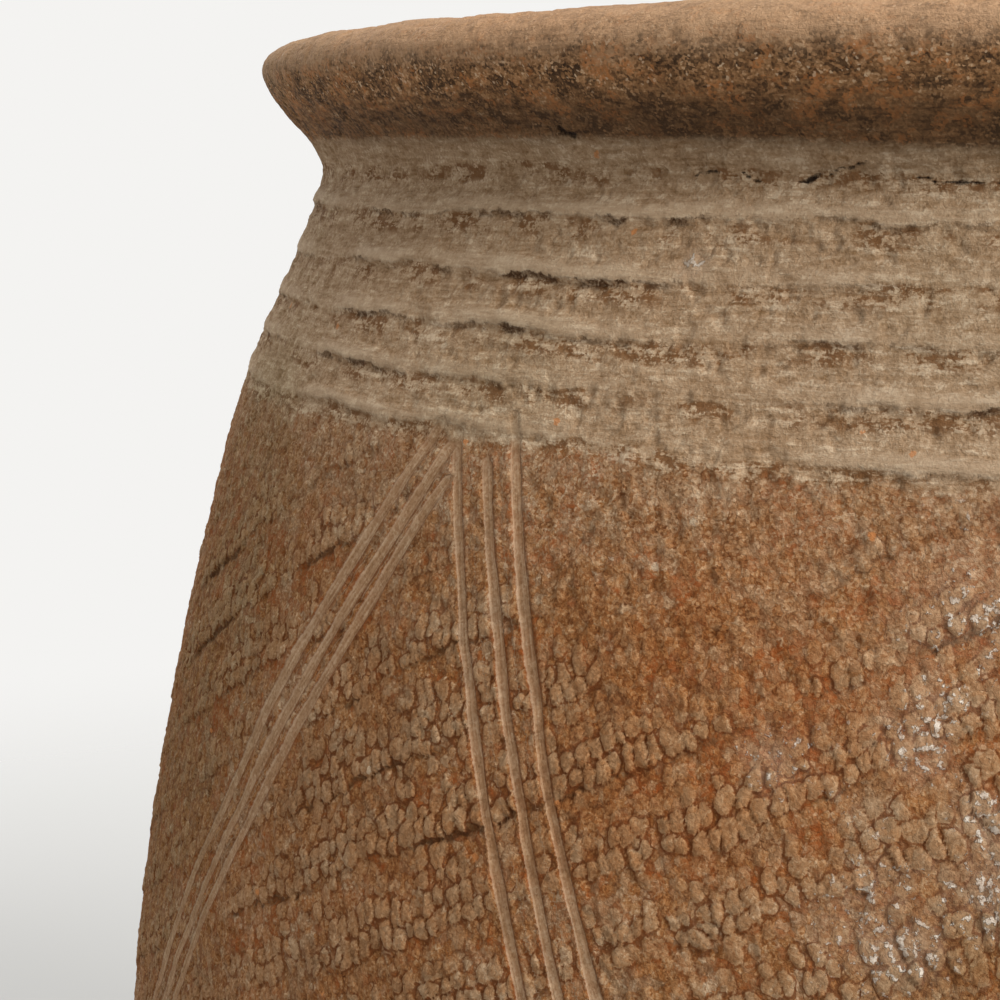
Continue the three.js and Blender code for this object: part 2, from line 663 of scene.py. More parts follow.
@dataclass(frozen=True)
class JointCracks:
    """Cracks where the rim coil was pressed on the neck: those in view, then more all round."""

    in_view: tuple[Crack, ...] = (
        Crack(-133.3, 421.9, 3.0, -14.0, 0.4),
        Crack(-124.6, 415.7, 5.0, 6.0, 0.15),
        Crack(-122.0, 415.4, 3.0, -3.0, 0.35),
        Crack(-118.6, 415.3, 3.6, 12.0, 0.5),
        Crack(-116.6, 416.8, 7.0, 18.0, 0.1),
        Crack(-111.3, 415.8, 9.0, 2.0, 0.3),
        Crack(-108.2, 415.1, 4.0, -8.0, 0.45),
    )
    others: int = 26
    seed: int = 5
    # Distances are told up to this reach, and only above the lowest height where a crack may lie
    reach: float = 4.0
    lowest: float = 405.0

    def every(self) -> list[Crack]:
        """The cracks in view and seeded ones on the rest of the joint."""
        draw = np.random.default_rng(self.seed)
        made = list(self.in_view)
        for _ in range(self.others):
            azimuth, height = draw.uniform(-102.0, 180.0), draw.choice([415.6, 421.6]) + draw.normal(0.0, 0.8)
            length, lean, gape = draw.uniform(3.0, 11.0), draw.normal(0.0, 9.0), draw.uniform(0.15, 0.6)
            made.append(Crack(azimuth, height, length, lean, gape))
        return made

    def distance(self, chart: Chart) -> np.ndarray:
        """Signed distance to the nearest crack's edge, below 0 inside it.

        Args:
            chart: surface points.

        Returns:
            Distances, up to the reach.
        """
        nearest = np.full(chart.azimuth.shape, self.reach)
        close = (chart.place.height > self.lowest) & (chart.inner < 0.5)
        if not close.any():
            return nearest
        part = Chart(
            chart.azimuth[close], chart.along[close],
            Station(*[getattr(chart.place, name)[close] for name in Station.__dataclass_fields__]), chart.lip,
        )
        jag = 0.7 * part.noise(2.6, 80, 2)
        best = nearest[close]
        for crack in self.every():
            lean = math.radians(crack.lean)
            x, z = part.across(crack.azimuth), part.place.height - crack.height
            forth = x * math.cos(lean) + z * math.sin(lean)
            off = z * math.cos(lean) - x * math.sin(lean) + jag
            half = crack.length / 2.0
            open_by = crack.gape / 2.0 * np.sqrt(np.clip(1.0 - (forth / half) ** 2, 0.0, 1.0))
            past = np.maximum(np.abs(forth) - half, 0.0)
            best = np.minimum(best, np.hypot(off, past) - open_by)
        nearest[close] = best
        return nearest


@dataclass(frozen=True)
class Patch:
    """Soft round patch on the outside of the wall.

    Attributes:
        azimuth: its middle.
        height: its middle.
        wide: half its width along the wall.
        tall: half its height.
        strength: its weight in the middle.
    """

    azimuth: float
    height: float
    wide: float
    tall: float
    strength: float

    def weight(self, chart: Chart) -> np.ndarray:
        """Weight at each point of the chart."""
        out = np.hypot(chart.across(self.azimuth) / self.wide, (chart.place.height - self.height) / self.tall)
        return self.strength * np.exp(-(out**2))


@dataclass(frozen=True)
class Ageing:
    """Wear, soot with painted shade under the rim, mineral crust and the drift of the clay's colour over the
    jar.
    """

    rubbed: tuple[Patch, ...] = (
        Patch(-121.0, 362.0, 26.0, 22.0, 0.75),
        Patch(-131.0, 375.0, 60.0, 9.0, 0.45),
        Patch(-150.0, 300.0, 18.0, 40.0, 0.3),
        Patch(-174.0, 315.0, 34.0, 80.0, 0.5),
        Patch(-108.0, 330.0, 16.0, 26.0, -0.35),
        Patch(-137.0, 312.0, 20.0, 22.0, -0.3),
    )
    crusted: tuple[Patch, ...] = (
        Patch(-104.0, 335.0, 34.0, 42.0, 0.36),
        Patch(-107.5, 338.0, 14.0, 26.0, 0.46),
        Patch(-117.0, 337.0, 5.0, 4.0, 0.6),
        Patch(-112.0, 317.0, 9.0, 6.0, 0.4),
        Patch(-124.5, 402.4, 2.2, 2.2, 1.0),
        Patch(-156.0, 428.5, 3.0, 2.2, 0.9),
        Patch(20.0, 300.0, 30.0, 40.0, 0.7),
        Patch(-40.0, 235.0, 26.0, 30.0, 0.6),
        Patch(130.0, 350.0, 24.0, 30.0, 0.6),
    )
    warm: tuple[Patch, ...] = (
        Patch(-121.0, 345.0, 34.0, 40.0, 0.7),
        Patch(-141.0, 342.0, 12.0, 10.0, 0.6),
        Patch(-133.0, 320.0, 16.0, 20.0, 0.4),
        Patch(-165.0, 320.0, 45.0, 70.0, -0.7),
    )
    smoked: tuple[Patch, ...] = (
        Patch(-110.0, 393.0, 30.0, 24.0, 0.38),
        Patch(35.0, 150.0, 70.0, 60.0, 0.55),
        Patch(-60.0, 120.0, 60.0, 40.0, 0.45),
        Patch(150.0, 210.0, 50.0, 60.0, 0.35),
    )

    def wear(self, chart: Chart) -> np.ndarray:
        """How far the pads are rubbed flat.

        Args:
            chart: surface points.

        Returns:
            Numbers from 0 to 1.
        """
        z = chart.place.height
        worn = 0.22 + 0.28 * chart.noise(34.0, 20, 3) + 0.22 * chart.noise(7.0, 21, 2)
        worn += 0.22 * ease(z, 335.0, 372.0)
        worn += sum(patch.weight(chart) for patch in self.rubbed)
        seam = np.minimum(chart.azimuth - (SEAM - 360.0), SEAM - chart.azimuth)
        worn += 2.0 * ease(np.radians(seam) * WRAP_RADIUS, 5.0, 1.5)
        worn += 1.2 * ease(z, 150.0, 95.0)
        return np.clip(worn, 0.0, 1.0)

    def stains(self, chart: Chart) -> np.ndarray:
        """Soot with painted shade under the rim, crust and warmth.

        Args:
            chart: surface points.

        Returns:
            Array of n rows: soot and painted shade 0 to 1, crust 0 to 1, warmth about -1 to 1.
        """
        z = chart.place.height
        drift = chart.noise(60.0, 23, 3)
        # Soot under the rim, together with painted shade where the rim overhangs the neck
        under = (0.3 * ease(z, 411.0, 419.5) + 0.55 * ease(z, 419.0, 422.4)) * ease(z, 430.0, 423.5)
        # The soot and painted shade under the rim are weakest on the left of the view
        shown = 1.0 - 0.75 * hump(chart.azimuth, -172.0, 20.0)
        soot = under * np.clip(0.85 + 0.35 * drift, 0.2, 1.0) * shown
        soot = soot + sum(p.weight(chart) for p in self.smoked) * (0.8 + 0.5 * drift)
        broken = 0.55 + 0.75 * chart.noise(9.0, 24, 3)
        crust = sum(p.weight(chart) for p in self.crusted) * np.clip(broken, 0.0, 1.2)
        warmth = 0.55 * drift + sum(p.weight(chart) for p in self.warm)
        outer = 1.0 - chart.inner
        soot, crust = np.clip(soot, 0, 1) * outer, np.clip(crust, 0, 1) * outer
        return np.column_stack([soot, crust, np.clip(warmth, -1, 1)])


@dataclass(frozen=True)
class Handwork:
    """What hands and tools did to the clay: shapes a chart and notes the marks for the finish."""

    form: JarForm
    roulette: Roulette = field(default_factory=Roulette)
    ridges: NeckRidges = field(default_factory=NeckRidges)
    zigzag: Zigzag = field(default_factory=Zigzag)
    cracks: JointCracks = field(default_factory=JointCracks)
    ageing: Ageing = field(default_factory=Ageing)
    out_of_round: float = 0.9
    rim_sag: float = 2.4

    def sway(self, chart: Chart) -> tuple[np.ndarray, np.ndarray]:
        """Slow unevenness that both faces of the wall share.

        Args:
            chart: surface points.

        Returns:
            Shifts outward and upward.
        """
        z = chart.place.height
        steady = ease(z, 0.0, 60.0)
        flat = chart.points * np.array([1.0, 1.0, 0.6])
        out = self.out_of_round * Noise(120.0, 1, 2).at(flat) + 0.35 * chart.noise(34.0, 2)
        up = 0.9 * Noise(110.0, 3).at(flat * np.array([1.0, 1.0, 0.0])) * ease(z, 380.0, 436.0)
        sag = -self.rim_sag * hump(chart.across(-98.0), 0.0, 60.0) * hump(z, 421.0, 8.0) * (1.0 - chart.inner)
        return out * steady, up + sag

    def shape(self, chart: Chart) -> tuple[np.ndarray, Face]:
        """Relief and marks of a chart.

        Args:
            chart: surface points.

        Returns:
            Heights out of the plain surface, and the marks by name.
        """
        z = chart.place.height
        inner, outer = chart.inner, 1.0 - chart.inner
        grain = chart.noise(1.5, 30, 2)
        pits = -ease(chart.noise(2.4, 35, 2), 0.30, 0.75)
        lumps = chart.noise(11.0, 32, 2)

        phase = self.ridges.phase(chart)
        ridge, press, crests = self.ridges.relief(chart, phase)
        neck = outer * ease(phase + 0.15 * chart.noise(5.0, 36, 2), 4.75, 4.0)
        rim = outer * ease(z, self.form.rim_joint - 2.6, self.form.rim_joint + 1.2)
        collar = neck * (1.0 - rim)
        wall = outer * (1.0 - neck)

        scored = self.zigzag.distance(chart)
        free = wall * (1.0 - ease(scored, -1.6, -1.1) * ease(scored, 1.6, 1.1))
        wear = self.ageing.wear(chart)
        u, v = self.roulette.coordinates(chart)
        within, printed = self.roulette.pads(u, v)
        pressed, trench = self.roulette.relief(chart, v, within, printed, wear)
        crack = self.cracks.distance(chart)

        drag = chart.noise(1.5, 31, 2, flatten=5.0)
        relief = free * (pressed + (0.14 + 0.10 * wear) * grain + 0.32 * pits)
        relief += outer * self.zigzag.relief(chart, scored)
        relief += collar * (ridge + (1.0 - crests) * (0.17 * grain + 0.15 * drag + 0.38 * pits))
        relief += rim * (0.2 * lumps + 0.09 * chart.noise(4.0, 33, 2) + 0.12 * grain + 0.26 * pits)
        relief -= 0.5 * outer * ease(crack, 0.3, -0.2)
        relief += inner * 0.5 * chart.noise(30.0, 34, 1, flatten=3.0)
        relief += 0.18 * lumps * outer * (1.0 - rim)
        marks = {
            "pads": np.column_stack([within, printed * free * (1.0 - wear), trench * free]),
            "tooling": np.column_stack([phase, press * collar, scored + self.zigzag.far * inner]),
            "zones": np.column_stack([neck, rim, inner]),
            "stains": self.ageing.stains(chart),
            "crest": relief,
            "crack": crack,
        }
        return relief * ease(z, 0.5, 10.0), marks


@dataclass(frozen=True)
class Spacing:
    """Columns of a ring: fine on the viewed side, coarser round the back.

    Attributes:
        fine: degrees between columns on the viewed side.
        coarse: degrees between columns elsewhere.
    """

    fine: float
    coarse: float

    def azimuths(self) -> np.ndarray:
        """Azimuths of the columns, from the seam round to the seam."""
        bounds = (SEAM - 360.0, *VIEWED, SEAM)
        parts = []
        for start, end, step in zip(bounds, bounds[1:], (self.coarse, self.fine, self.coarse)):
            count = max(1, round((end - start) / step))
            parts.append(np.linspace(start, end, count, endpoint=False))
        return np.concatenate(parts)


class Close(Enum):
    """How a run of rows goes on at its end."""

    BEVEL = "bevel"
    CENTRE = "centre"


@dataclass
class ClayPiece:
    """One clay piece of the jar as a closed mesh.

    Attributes:
        name: name of the piece.
        node: frame node that it stands for.
        work: the handwork that shapes it.
        runs: arc lengths of the rows of each face, in order round the section.
        close: how each run goes on to the next.
        spacing: its columns.
        slip: share of a slip film that the bevels keep clear.
        inset: how far the clay goes straight in before a bevel begins.
    """

    name: str
    node: str
    work: Handwork
    runs: list[np.ndarray]
    close: Close
    spacing: Spacing
    slip: float = 0.2
    inset: float = 2.5

    def build(self) -> bpy.types.Object:
        """Makes the mesh with its normals, marks and bake map.

        Returns:
            The new object, in the scene.
        """
        columns = self.spacing.azimuths()
        rows = [self._face(run, columns) for run in self.runs]
        ring: list[Face] = []
        for index, face in enumerate(rows):
            ring.append(face)
            last = index == len(rows) - 1
            if not (last and self.close is Close.CENTRE):
                ring.append(self._bevel(face, rows[(index + 1) % len(rows)], last))
        grid = {key: np.concatenate([part[key] for part in ring]) for key in ring[0]}
        mesh = self._mesh(grid)
        obj = bpy.data.objects.new(self.name, mesh)
        bpy.context.scene.collection.objects.link(obj)
        return obj

    def _face(self, run: np.ndarray, columns: np.ndarray) -> Face:
        """Shapes one face of the piece.

        Args:
            run: arc lengths of its rows.
            columns: azimuths of its columns.

        Returns:
            Places, normals and marks as arrays of rows by columns.
        """
        step = run[1] - run[0], run[-1] - run[-2]
        along = np.concatenate([[run[0] - step[0]], run, [run[-1] + step[1]]])
        azimuth, lengths = np.meshgrid(columns, along)
        form = self.work.form
        chart = Chart(azimuth.ravel(), lengths.ravel(), form.at(lengths.ravel()), form.lip)
        relief, marks = self.work.shape(chart)
        out, up = self.work.sway(chart)
        turn = np.radians(chart.azimuth)
        radius = np.maximum(chart.place.radius + out + relief * chart.place.out_radius, 0.02)
        height = chart.place.height + up + relief * chart.place.out_height
        places = np.column_stack([radius * np.cos(turn), radius * np.sin(turn), height])
        places = places.reshape(*lengths.shape, 3)
        round_by = np.roll(places, -1, 1) - np.roll(places, 1, 1)
        upward = np.zeros_like(places)
        upward[1:-1] = places[2:] - places[:-2]
        normals = np.cross(round_by, upward)
        normals /= np.maximum(np.linalg.norm(normals, axis=2, keepdims=True), 1e-9)
        face = {name: values.reshape(*lengths.shape, -1)[1:-1] for name, values in marks.items()}
        face["places"], face["normals"] = places[1:-1], normals[1:-1]
        face["along"] = lengths[1:-1, :, None]
        return face

    def _bevel(self, lower: Face, upper: Face, under: bool) -> Face:
        """Joins the last row of a face to the first row of the next by a bevel, kept clear of its neighbour.

        Args:
            lower: face that ends here.
            upper: face that begins here.
            under: whether this is the bevel below the piece.

        Returns:
            Rows of the bevel, like a face.
        """
        lift = np.array([0.0, 0.0, self.slip if under else -self.slip])
        rows: dict[str, list[np.ndarray]] = {key: [] for key in lower}
        for face, row in ((lower, -1), (upper, 0)):
            for key, made in rows.items():
                made.append(face[key][row])
            rows["places"][-1] = face["places"][row] - self.inset * face["normals"][row] + lift
        way = rows["places"][1] - rows["places"][0]
        flat = np.roll(rows["places"][0], -1, 0) - np.roll(rows["places"][0], 1, 0)
        facing = np.cross(flat, way)
        facing /= np.maximum(np.linalg.norm(facing, axis=1, keepdims=True), 1e-9)
        rows["normals"] = [facing, facing]
        return {key: np.stack(made) for key, made in rows.items()}

    def _mesh(self, grid: Face) -> bpy.types.Mesh:
        """Writes rows and columns as a Blender mesh.

        Args:
            grid: places, normals and marks of all rows.

        Returns:
            The mesh.
        """
        rows, columns = grid["places"].shape[:2]
        closed = self.close is Close.BEVEL
        index = np.arange(rows * columns).reshape(rows, columns)
        below = index if closed else index[:-1]
        above = np.roll(index, -1, 0) if closed else index[1:]
        quads = np.stack([below, np.roll(below, -1, 1), np.roll(above, -1, 1), above], -1).reshape(-1, 4)
        places = grid["places"].reshape(-1, 3)
        normals = grid["normals"].reshape(-1, 3)
        caps = np.zeros((0, 3), int)
        if not closed:
            ends = [grid["places"][row].mean(0) for row in (0, -1)]
            places = np.vstack([places, ends])
            normals = np.vstack([normals, [[0.0, 0.0, -1.0], [0.0, 0.0, 1.0]]])
            first, last, count = index[0], index[-1], rows * columns
            foot = np.column_stack([np.full(columns, count), np.roll(first, -1), first])
            floor = np.column_stack([np.full(columns, count + 1), last, np.roll(last, -1)])
            caps = np.vstack([foot, floor])
        mesh = bpy.data.meshes.new(self.name)
        corners = np.concatenate([quads.ravel(), caps.ravel()])
        sizes = np.concatenate([np.full(len(quads), 4), np.full(len(caps), 3)])
        mesh.vertices.add(len(places))
        mesh.loops.add(len(corners))
        mesh.polygons.add(len(sizes))
        mesh.vertices.foreach_set("co", (places * MM).astype(np.float32).ravel())
        mesh.loops.foreach_set("vertex_index", corners.astype(np.int32))
        mesh.polygons.foreach_set("loop_start", np.concatenate([[0], np.cumsum(sizes)[:-1]]).astype(np.int32))
        mesh.update(calc_edges=True)
        mesh.validate()
        for name in ("pads", "tooling", "zones", "stains", "crest", "crack"):
            self._mark(mesh, name, grid[name].reshape(rows * columns, -1))
        self._bake_map(mesh, grid, len(quads), len(caps))
        mesh.normals_split_custom_set_from_vertices(normals.tolist())
        return mesh

    @staticmethod
    def _mark(mesh: bpy.types.Mesh, name: str, values: np.ndarray) -> None:
        """Stores marks at the vertices; a centre vertex repeats the last ones.

        Args:
            mesh: mesh to mark.
            name: attribute name.
            values: one row for each vertex of the grid.
        """
        missing = len(mesh.vertices) - len(values)
        if missing:
            values = np.vstack([values, values[-missing:]])
        plain = values.shape[1] == 1
        layer = mesh.attributes.new(name, "FLOAT" if plain else "FLOAT_VECTOR", "POINT")
        layer.data.foreach_set("value" if plain else "vector", values.astype(np.float32).ravel())

    def _bake_map(self, mesh: bpy.types.Mesh, grid: Face, quads: int, caps: int) -> None:
        """Lays the ring out as level strips, one above the other, for baking.

        Args:
            mesh: mesh to map.
            grid: rows and columns of the mesh.
            quads: number of four-sided faces.
            caps: number of three-sided faces.
        """
        rows, columns = grid["places"].shape[:2]
        closed = self.close is Close.BEVEL
        down = grid["places"]
        steps = np.linalg.norm(np.roll(down, -1, 0) - down, axis=2).mean(1)
        if not closed:
            steps = steps[:-1]
        tall = np.concatenate([[0.0], np.cumsum(steps)])
        girth = np.linalg.norm(np.roll(down, -1, 1) - down, axis=2).sum(1).max()
        strips = max(1, round(math.sqrt(girth / tall[-1])))
        per = math.ceil(columns / strips)
        column = np.tile(np.arange(columns), len(steps))
        row = np.repeat(np.arange(len(steps)), columns)
        strip, place = column // per, column % per
        margin = 0.004
        u = margin + (1.0 - 2.0 * margin) * np.column_stack([place, place + 1, place + 1, place]) / per
        share = tall / tall[-1]
        v = np.column_stack([share[row], share[row], share[row + 1], share[row + 1]])
        v = (strip[:, None] + margin * strips + (1.0 - 2.0 * margin * strips) * v) / strips
        uv = np.stack([u, v], -1).reshape(quads * 4, 2)
        uv = np.vstack([uv, np.full((caps * 3, 2), 0.5 * margin)])
        layer = mesh.uv_layers.new(name="OFBake")
        layer.data.foreach_set("uv", uv.astype(np.float32).ravel())


@dataclass(frozen=True)
class JarBuilder:
    """Divides the jar's section into its clay pieces, from the frame's joints."""

    work: Handwork
    fine_row: float = 0.56
    plain_row: float = 0.9
    neck_row: float = 0.65
    rim_row: float = 0.72
    bowl_row: float = 2.3
    inner_row: float = 6.0
    wall_columns: Spacing = Spacing(0.111, 0.335)
    neck_columns: Spacing = Spacing(0.12, 0.7)
    bowl_columns: Spacing = Spacing(0.5, 0.5)
    # Wall coils from this one up lie in the camera's view
    first_viewed: int = 6

    @staticmethod
    def rows(start: float, end: float, step: float) -> np.ndarray:
        """Evenly spaced arc lengths, both ends included."""
        return np.linspace(start, end, max(2, round(abs(end - start) / step)) + 1)

    def joint(self, node: str) -> float:
        """Height of a node's upper joint on the outside."""
        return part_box(node)[1].z / MM

    def ring(self, node: str, under: str, step: float, spacing: Spacing) -> ClayPiece:
        """A coil between two joints.

        Args:
            node: the coil.
            under: the piece that it stands on.
            step: spacing of its outside rows.
            spacing: its columns.

        Returns:
            The piece, not built yet.
        """
        form = self.work.form
        low, high = self.joint(under), self.joint(node)
        outside = self.rows(form.outside(low), form.outside(high), step)
        inside = self.rows(form.inside(high - form.lap), form.inside(low - form.lap), self.inner_row)
        return ClayPiece(f"{node}_clay", node, self.work, [outside, inside], Close.BEVEL, spacing)

    def pieces(self) -> list[ClayPiece]:
        """All clay pieces of the jar, bottom up.

        Returns:
            The pieces, not built yet.
        """
        form = self.work.form
        bowl_joint = self.joint("base_bowl")
        end = form.outline[0][-1]
        bowl_runs = [
            self.rows(1.0, form.outside(bowl_joint), self.bowl_row),
            self.rows(form.inside(bowl_joint - form.lap), end - 1.0, self.inner_row),
        ]
        under = "base_bowl"
        bowl = ClayPiece(f"{under}_clay", under, self.work, bowl_runs, Close.CENTRE, self.bowl_columns)
        made = [bowl]
        coils = [node for node in frame["nodes"] if node.startswith("wall_coil_")]
        coils.sort(key=lambda node: int(node.split("_")[-1]))
        for number, node in enumerate(coils, 1):
            step = self.fine_row if number >= self.first_viewed else self.plain_row
            made.append(self.ring(node, under, step, self.wall_columns))
            under = node
        made.append(self.ring("neck_coil", under, self.neck_row, self.neck_columns))
        roll = self.rows(form.outside(form.rim_joint), form.inside(form.rim_joint - form.lap), self.rim_row)
        made.append(ClayPiece("rim_coil_clay", "rim_coil", self.work, [roll], Close.BEVEL, self.neck_columns))
        return made


class Sock:
    """A node's output that takes part in Python expressions; each operator adds one Math node."""

    def __init__(self, tree: "FinishTree", socket: bpy.types.NodeSocket) -> None:
        """Wraps a socket of a tree."""
        self.tree = tree
        self.socket = socket

    def math(self, operation: str, *values: "Sock | float") -> "Sock":
        """A Math node on these values, in order."""
        return self.tree.add("ShaderNodeMath", {"operation": operation}, dict(enumerate(values)))

    def __add__(self, other: "Sock | float") -> "Sock":
        """Sum."""
        return self.math("ADD", self, other)

    def __radd__(self, other: float) -> "Sock":
        """Sum with a number in front."""
        return self.math("ADD", other, self)

    def __sub__(self, other: "Sock | float") -> "Sock":
        """Difference."""
        return self.math("SUBTRACT", self, other)

    def __rsub__(self, other: float) -> "Sock":
        """Difference from a number."""
        return self.math("SUBTRACT", other, self)

    def __mul__(self, other: "Sock | float") -> "Sock":
        """Product."""
        return self.math("MULTIPLY", self, other)

    def __rmul__(self, other: float) -> "Sock":
        """Product with a number in front."""
        return self.math("MULTIPLY", other, self)

    def out(self, name: str) -> "Sock":
        """Another output of the same node."""
        return Sock(self.tree, self.tree.find(self.socket.node.outputs, name))

    def smooth(self, low: float, high: float) -> "Sock":
        """Smooth step from 0 at low to 1 at high."""
        settings = {"interpolation_type": "SMOOTHSTEP"}
        sockets = {"Value": self, "From Min": low, "From Max": high}
        return self.tree.add("ShaderNodeMapRange", settings, sockets)

    def parts(self) -> tuple["Sock", "Sock", "Sock"]:
        """The three parts of a vector."""
        split = self.tree.add("ShaderNodeSeparateXYZ", {}, {"Vector": self})
        return split, split.out("Y"), split.out("Z")


class FinishTree:
    """Node tree of a material or of the surroundings."""

    def __init__(self, owner: bpy.types.Material | bpy.types.World) -> None:
        """Empties the node tree of its owner."""
        owner.use_nodes = True
        self.nodes = owner.node_tree.nodes
        self.links = owner.node_tree.links
        self.nodes.clear()

    @staticmethod
    def find(sockets: Any, key: str | int) -> bpy.types.NodeSocket:
        """A socket by its number, identifier or name.

        Args:
            sockets: a node's inputs or outputs.
            key: number, identifier or name.

        Returns:
            The socket.
        """
        if isinstance(key, int):
            return sockets[key]
        for socket in sockets:
            if socket.identifier == key:
                return socket
        return sockets[key]

    def add(
        self, kind: str, settings: Mapping[str, Any], sockets: Mapping[str | int, Any], output: str | int = 0
    ) -> Sock:
        """Adds a node.

        Args:
            kind: Blender's node type.
            settings: properties, set before the sockets; color_ramp takes stops of place and colour.
            sockets: values or links by socket number, identifier or name.
            output: which output to return.

        Returns:
            That output.
        """
        node = self.nodes.new(kind)
        for key, value in settings.items():
            if key == "color_ramp":
                self._stops(node.color_ramp, value)
            else:
                setattr(node, key, value)
        for key, value in sockets.items():
            socket = self.find(node.inputs, key)
            if isinstance(value, Sock):
                self.links.new(value.socket, socket)
            else:
                socket.default_value = value
        return Sock(self, self.find(node.outputs, output)) if node.outputs else Sock(self, node.inputs[0])

    @staticmethod
    def _stops(ramp: bpy.types.ColorRamp, stops: Stops) -> None:
        """Sets the stops of a colour ramp.

        Args:
            ramp: ramp with Blender's two first stops.
            stops: places from 0 to 1 with their colours.
        """
        while len(ramp.elements) < len(stops):
            ramp.elements.new(1.0)
        for element, (place, colour) in zip(ramp.elements, stops):
            element.position = place
            element.color = linear(colour)

    def mark(self, name: str) -> Sock:
        """Mesh attribute as a vector."""
        return self.add("ShaderNodeAttribute", {"attribute_name": name}, {}, "Vector")

    def scaled(self, vector: Sock, by: tuple[float, float, float]) -> Sock:
        """Vector with each part multiplied."""
        return self.add("ShaderNodeVectorMath", {"operation": "MULTIPLY"}, {0: vector, 1: by})

    def noise(self, place: Sock, size: float, detail: float = 2.0, rough: float = 0.55) -> Sock:
        """Noise of a lump size in millimetres, round 0.5."""
        sockets = {"Vector": place, "Scale": 1.0 / size, "Detail": detail, "Roughness": rough}
        return self.add("ShaderNodeTexNoise", {"noise_dimensions": "3D"}, sockets)

    def cells(self, place: Sock, size: float, feature: str, output: str) -> Sock:
        """Irregular cells of a size in millimetres."""
        sockets = {"Vector": place, "Scale": 1.0 / size}
        return self.add("ShaderNodeTexVoronoi", {"feature": feature}, sockets, output)

    def ramp(self, value: Sock, stops: Stops) -> Sock:
        """Colour by value."""
        return self.add("ShaderNodeValToRGB", {"color_ramp": stops}, {"Fac": value})

    def blend(self, share: Sock, first: Sock | Colour, second: Sock | Colour, kind: str = "MIX") -> Sock:
        """Mixes two colours.

        Args:
            share: 0 for the first and 1 for the second.
            first: colour or link.
            second: colour or link.
            kind: Blender's blend type.

        Returns:
            The mixed colour.
        """
        sides = [c if isinstance(c, Sock) else linear(c) for c in (first, second)]
        settings = {"data_type": "RGBA", "blend_type": kind, "clamp_factor": True}
        sockets = {"Factor_Float": share, "A_Color": sides[0], "B_Color": sides[1]}
        return self.add("ShaderNodeMix", settings, sockets, "Result_Color")


